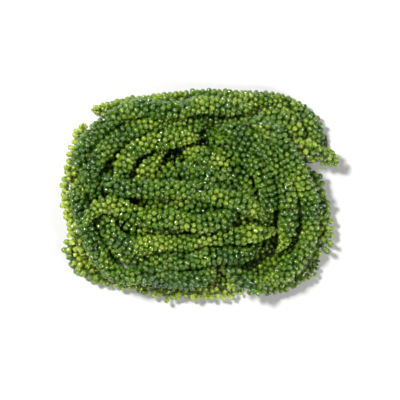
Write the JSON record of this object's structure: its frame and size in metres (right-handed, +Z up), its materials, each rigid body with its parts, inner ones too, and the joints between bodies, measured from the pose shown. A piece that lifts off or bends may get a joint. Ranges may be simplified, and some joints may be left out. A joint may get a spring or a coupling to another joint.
{
  "type": "sea grapes seaweed",
  "caption": "Clump of sea grapes seaweed: fronds covered all round in small round beads, packed in a low rounded bed, all growing from one runner.",
  "frame": {"origin": "middle of the clump's box in plan, on the surface that the clump lies on", "axes": "+X along the clump's longer side, towards the frond end that hangs out at the right; +Y towards its back edge, the picture's top; +Z up"},
  "size_m": [0.1331, 0.1012, 0.0293],
  "materials": {
    "frond": null,
    "runner": null
  },
  "bodies": {
    "root": {"lower_frond_01": "frond", "lower_frond_02": "frond", "lower_frond_03": "frond", "lower_frond_04": "frond", "lower_frond_05": "frond", "lower_frond_06": "frond", "lower_frond_07": "frond", "lower_frond_08": "frond", "rim_frond_corner": "frond", "rim_frond_left": "frond", "rim_frond_near_left": "frond", "rim_frond_near_right": "frond", "rim_frond_right": "frond", "rim_frond_sprig": "frond", "rim_frond_top": "frond", "runner": "runner", "top_frond_01": "frond", "top_frond_02": "frond", "top_frond_03": "frond", "upper_frond_01": "frond", "upper_frond_02": "frond", "upper_frond_03": "frond", "upper_frond_04": "frond", "upper_frond_05": "frond", "upper_frond_06": "frond", "upper_frond_07": "frond", "upper_frond_08": "frond", "upper_frond_09": "frond", "upper_frond_10": "frond", "upper_frond_11": "frond"}
  },
  "joints": []
}
